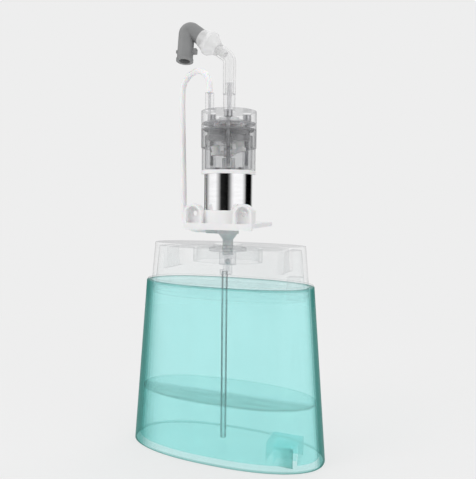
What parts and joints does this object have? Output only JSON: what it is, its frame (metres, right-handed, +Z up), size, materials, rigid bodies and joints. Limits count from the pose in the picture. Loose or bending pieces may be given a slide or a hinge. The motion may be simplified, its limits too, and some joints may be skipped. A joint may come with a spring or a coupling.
{
  "type": "liquid dispenser pump unit",
  "caption": "Oval tank with clear lid and dip tube, plug-in wobble pump and motor on a bracket, inlet hose, outlet tube and swivel spout.",
  "frame": {"origin": "centre of the tank's underside", "axes": "+Z up, +X along the tank's long side, -Y is the front with the bracket's ears"},
  "size_m": [0.104, 0.046, 0.2187],
  "materials": {
    "tinted_tank": "clear turquoise",
    "clear_lid": "clear",
    "clear_grey": "translucent",
    "clear_tube": "clear",
    "silicone": "matte white",
    "steel": "satin",
    "white_plastic": "semi-gloss",
    "grey_plastic": "satin grey",
    "black_rubber": "matte",
    "chrome_can": "bright plated",
    "black_plastic": "matte",
    "brass": "plain",
    "carbon": "matte",
    "ferrite": "matte",
    "frosted_plastic": "translucent",
    "frame_grey": "translucent grey",
    "black_steel": "black oxide",
    "white_hose": "smooth silicone",
    "copper": "enamelled"
  },
  "bodies": {
    "tank": {"tank_body": "tinted_tank"},
    "lid": {"lid_shell": "clear_lid", "lid_gasket": "silicone", "valve_socket": "clear_grey", "valve_cap": "clear_grey", "dip_tube": "clear_tube"},
    "check_ball": {"valve_ball": "steel"},
    "pump_unit": {"pump_bracket": "white_plastic", "bracket_screws": "steel", "suction_spigot": "grey_plastic", "spigot_o_ring": "black_rubber", "motor_can": "chrome_can", "motor_end_cap": "black_plastic", "motor_terminals": "brass", "motor_brushes": "carbon", "motor_magnets": "ferrite", "motor_bushings": "brass", "motor_plate": "white_plastic", "plate_screws": "steel", "cam_housing": "frosted_plastic", "diaphragm_frame": "frame_grey", "diaphragm": "silicone", "valve_plate": "frosted_plastic", "inlet_valves": "silicone", "outlet_valve": "silicone", "head_seal": "silicone", "head_cover": "frosted_plastic", "pump_screws": "black_steel", "inlet_hose": "white_hose", "outlet_tube": "clear_tube", "spout_connector": "clear_grey", "connector_o_ring": "black_rubber"},
    "rotor": {"motor_shaft": "steel", "armature_core": "ferrite", "armature_windings": "copper", "commutator": "copper", "wobble_hub": "white_plastic", "wobble_pin": "steel"},
    "wobble": {"wobble_plate": "white_plastic", "piston_stems": "silicone"},
    "spout": {"spout_elbow": "grey_plastic"}
  },
  "joints": [
    {"name": "lid_lift", "type": "slide", "parent": "tank", "child": "lid", "axis": [0, 0, 1], "range_m": [0, 0.09]},
    {"name": "ball_rise", "type": "slide", "parent": "lid", "child": "check_ball", "axis": [0, 0, 1], "range_m": [0, 0.0009]},
    {"name": "pump_lift", "type": "slide", "parent": "lid", "child": "pump_unit", "axis": [0, 0, 1], "range_m": [0, 0.02]},
    {"name": "rotor_spin", "type": "hinge", "parent": "pump_unit", "child": "rotor", "pos_m": [0, 0, 0.1522], "axis": [0, 0, 1], "continuous": true},
    {"name": "wobble_turn", "type": "hinge", "parent": "rotor", "child": "wobble", "pos_m": [0, 0, 0.1522], "axis": [-0.1564, 0, 0.9877], "continuous": true},
    {"name": "spout_swivel", "type": "hinge", "parent": "pump_unit", "child": "spout", "pos_m": [-0.01553, 0, 0.21069], "axis": [-0.809, 0, 0.5878], "range_deg": [-30, 30]}
  ],
  "couplings": [
    {"joint": "wobble_turn", "follows": "rotor_spin", "ratio": -1}
  ]
}
